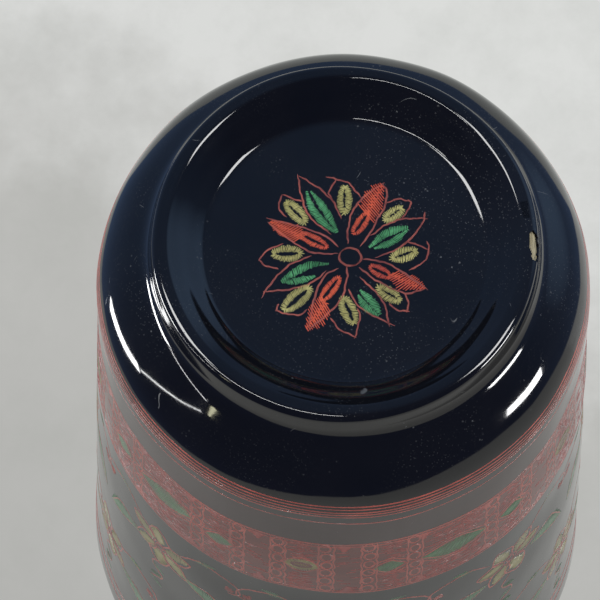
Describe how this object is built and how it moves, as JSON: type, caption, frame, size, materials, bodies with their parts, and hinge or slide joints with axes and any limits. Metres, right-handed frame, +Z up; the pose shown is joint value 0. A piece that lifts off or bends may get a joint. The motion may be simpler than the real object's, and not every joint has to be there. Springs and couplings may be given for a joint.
{
  "type": "lacquered bamboo cup",
  "caption": "Deep round cup of coiled bamboo under glossy black lacquer, on a recessed foot ring, with incised and colour-filled bands and a petalled flower under the base.",
  "frame": {"origin": "centre of the foot ring's resting plane, on the cup's axis", "axes": "+Z up out of the mouth along the axis; +X towards the chip in the foot ring; +Y completes the right-handed frame"},
  "size_m": [0.0804, 0.0804, 0.118],
  "materials": {
    "bamboo": "matte",
    "ash_ground": "matte",
    "black_lacquer": "gloss",
    "inner_lacquer": "gloss",
    "red_inlay": "satin",
    "green_inlay": "satin",
    "yellow_inlay": "satin"
  },
  "bodies": {
    "root": {"base_disc": "bamboo", "foot_hoop": "bamboo", "shoulder_hoops": "bamboo", "wall_hoops": "bamboo", "rim_hoop": "bamboo", "outer_ground": "ash_ground", "inner_ground": "ash_ground", "outer_lacquer": "black_lacquer", "inner_lacquer": "inner_lacquer", "shoulder_lines": "red_inlay", "rim_lines": "red_inlay", "panel_ground": "red_inlay", "panel_green": "green_inlay", "panel_yellow": "yellow_inlay", "field_outlines": "red_inlay", "field_hearts": "yellow_inlay", "field_leaves": "green_inlay", "flower_outlines": "red_inlay", "flower_red": "red_inlay", "flower_green": "green_inlay", "flower_yellow": "yellow_inlay"}
  },
  "joints": []
}
